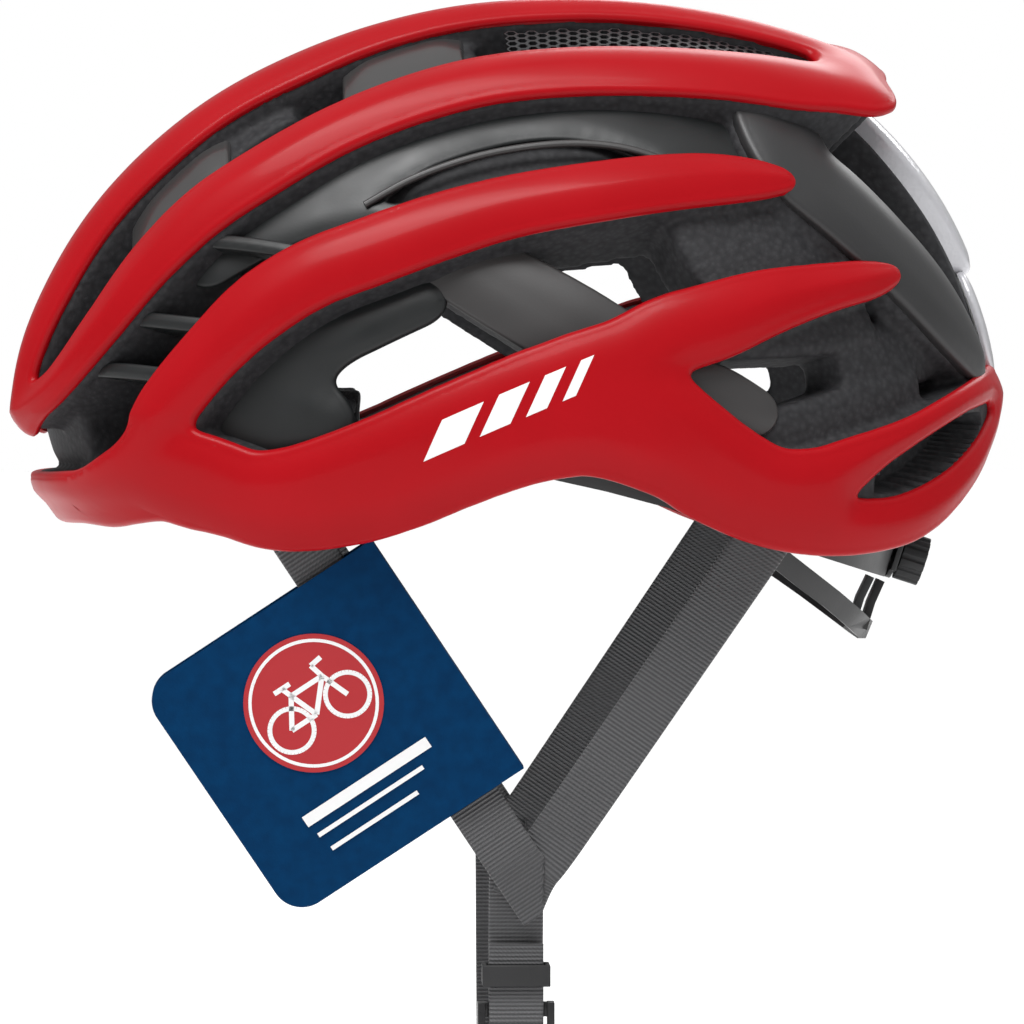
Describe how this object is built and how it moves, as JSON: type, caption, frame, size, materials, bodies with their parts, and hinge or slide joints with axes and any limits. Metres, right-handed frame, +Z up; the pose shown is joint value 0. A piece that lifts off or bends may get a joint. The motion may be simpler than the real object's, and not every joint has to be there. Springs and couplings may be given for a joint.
{
  "type": "cycling helmet",
  "caption": "Ribbed road cycling helmet with a vented foam liner, webbing harness, side-release buckle and dial-adjusted head cradle.",
  "frame": {"origin": "middle of the head opening at the height of the brow rim", "axes": "-X is the front, +X the rear, +Y the rider's right, +Z up"},
  "size_m": [0.2812, 0.2016, 0.3388],
  "materials": {
    "red_shell": "gloss red polycarbonate, in-moulded",
    "foam": "moulded dark grey polystyrene foam",
    "cage": "black nylon",
    "satin_grey": "satin warm grey plastic",
    "satin_dark": "satin dark grey plastic",
    "mesh": "black honeycomb mesh",
    "reflector": "silver grey reflective plastic",
    "pad": "black knitted pad cover",
    "hard_black": "black glass-filled nylon",
    "gloss_black": "black acetal",
    "webbing": "black ribbed polyester webbing",
    "keeper": "black rubber",
    "steel": "plated steel",
    "card": "printed navy card"
  },
  "bodies": {
    "helmet": {"crown_shell": "red_shell", "lower_shell": "red_shell", "liner": "foam", "roll_cage": "cage", "rear_panel_left": "satin_dark", "rear_panel_right": "satin_dark", "side_bridge_left": "satin_grey", "side_bridge_right": "satin_grey", "vent_plate_left": "satin_grey", "vent_plate_right": "satin_grey", "crown_bridge_front": "satin_dark", "crown_bridge_middle": "satin_dark", "mesh_center": "mesh", "mesh_left": "mesh", "mesh_right": "mesh", "rear_reflector": "reflector", "tail_reflector": "reflector", "brow_pad": "pad", "crown_pad_center": "pad", "crown_pad_left": "pad", "crown_pad_right": "pad", "temple_pin_left": "hard_black", "temple_pin_right": "hard_black", "front_anchor_left": "hard_black", "front_anchor_right": "hard_black", "rear_anchor_left": "hard_black", "rear_anchor_right": "hard_black", "front_strap_left": "webbing", "front_strap_right": "webbing", "rear_strap_left": "webbing", "rear_strap_right": "webbing", "jaw_strap_left": "webbing", "buckle_male": "gloss_black", "height_track": "hard_black", "swing_tag": "card"},
    "retention": {"height_strip": "hard_black", "headband_left": "hard_black", "headband_right": "hard_black", "cradle": "hard_black", "nape_support": "hard_black", "nape_pads": "pad", "dial_housing": "hard_black", "detent_spring": "steel"},
    "dial": {"dial_knob": "keeper", "pinion": "gloss_black", "dial_screw": "steel"},
    "left_belt": {"belt_left": "gloss_black"},
    "right_belt": {"belt_right": "gloss_black"},
    "chin": {"buckle_female": "gloss_black", "chin_strap": "webbing", "chin_pad": "pad"},
    "keeper": {"strap_keeper": "keeper"}
  },
  "joints": [
    {"name": "cradle_tilt", "type": "hinge", "parent": "helmet", "child": "retention", "pos_m": [-0.015, 0, 0.02], "axis": [0, 1, 0], "range_deg": [-4, 4]},
    {"name": "dial_turn", "type": "hinge", "parent": "retention", "child": "dial", "pos_m": [0.11533, 0, -0.01268], "axis": [0.9511, 0, -0.309], "range_deg": [-120, 120]},
    {"name": "belt_left_slide", "type": "hinge", "parent": "retention", "child": "left_belt", "pos_m": [0.044, 0, 0.0105], "axis": [0.309, 0, 0.9511], "range_deg": [-5.8, 5.8]},
    {"name": "belt_right_slide", "type": "hinge", "parent": "retention", "child": "right_belt", "pos_m": [0.044, 0, 0.0105], "axis": [0.309, 0, 0.9511], "range_deg": [-5.8, 5.8]},
    {"name": "buckle_release", "type": "slide", "parent": "helmet", "child": "chin", "axis": [0, 0, -1], "range_m": [0, 0.022]},
    {"name": "keeper_slide", "type": "slide", "parent": "helmet", "child": "keeper", "axis": [0, 0, 1], "range_m": [-0.003, 0.003]}
  ],
  "couplings": [
    {"joint": "belt_left_slide", "follows": "dial_turn", "ratio": 0.047761},
    {"joint": "belt_right_slide", "follows": "dial_turn", "ratio": -0.047761}
  ]
}
